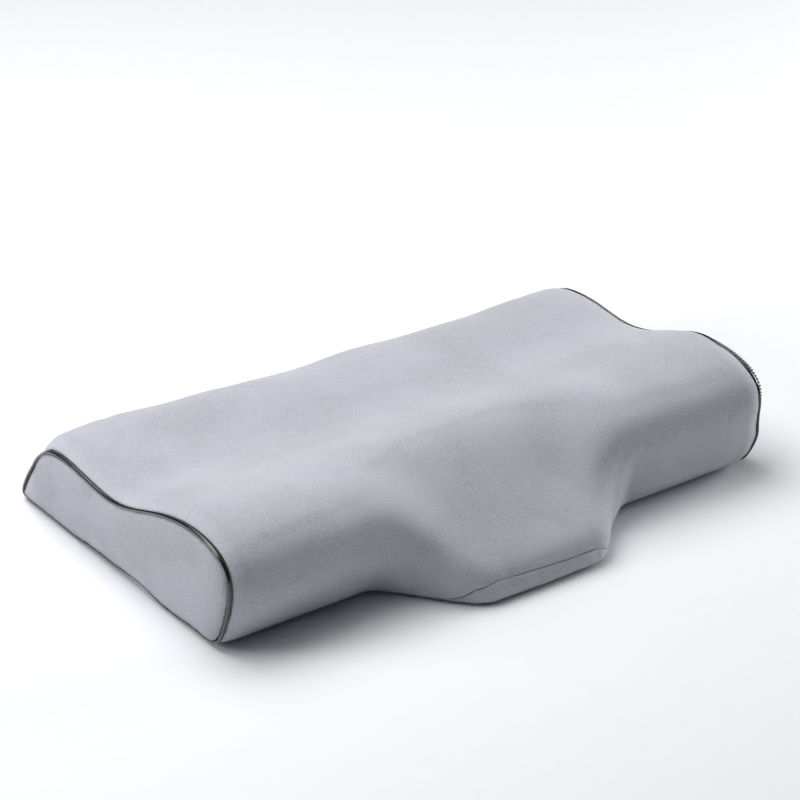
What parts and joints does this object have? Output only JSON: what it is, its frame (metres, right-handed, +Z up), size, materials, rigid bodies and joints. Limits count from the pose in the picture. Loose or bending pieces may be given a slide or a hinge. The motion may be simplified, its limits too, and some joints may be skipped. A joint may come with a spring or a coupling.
{
  "type": "contour neck pillow",
  "caption": "Butterfly-shaped foam neck-support pillow with a front tongue, a high and a low roll, a piped fabric cover and a zip at the back.",
  "frame": {"origin": "middle of the footprint, on the surface the pillow lies on", "axes": "+X along the pillow's length, -Y to the front with the tongue, +Y to the back with the zip, +Z up"},
  "size_m": [0.614, 0.416, 0.1124],
  "materials": {
    "cover_fabric": "matte fine pebble knit with a soft sheen",
    "end_fabric": "matte fine ribbed knit",
    "liner_knit": "matte jersey",
    "foam": "matte open-cell foam",
    "piping_satin": "satin bias strip",
    "piping_cotton": "twisted cotton cord",
    "zip_tape": "woven tape",
    "zip_coil": "satin nylon",
    "zip_stop_metal": "satin",
    "zip_enamel": "satin enamel"
  },
  "bodies": {
    "pillow": {"foam_core": "foam", "liner_top": "liner_knit", "liner_bottom": "liner_knit", "liner_left_end": "liner_knit", "liner_right_end": "liner_knit", "cover_top": "cover_fabric", "cover_bottom": "cover_fabric", "cover_back_band": "cover_fabric", "front_gusset": "cover_fabric", "left_end_panel": "end_fabric", "right_end_panel": "end_fabric", "left_piping_cord": "piping_cotton", "right_piping_cord": "piping_cotton", "left_piping_binding": "piping_satin", "right_piping_binding": "piping_satin", "zip_tape_upper": "zip_tape", "zip_tape_lower": "zip_tape", "zip_coil_upper": "zip_coil", "zip_coil_lower": "zip_coil", "zip_end_stops": "zip_stop_metal"},
    "slider": {"zip_slider": "zip_enamel"},
    "pull": {"zip_pull": "zip_enamel"}
  },
  "joints": [
    {"name": "zip_slide", "type": "slide", "parent": "pillow", "child": "slider", "axis": [-1, 0, 0], "range_m": [0, 0.505]},
    {"name": "pull_swing", "type": "hinge", "parent": "slider", "child": "pull", "pos_m": [0.2535, 0.19867, 0.03282], "axis": [0, 0.5344, -0.8453], "range_deg": [0, 180]}
  ]
}
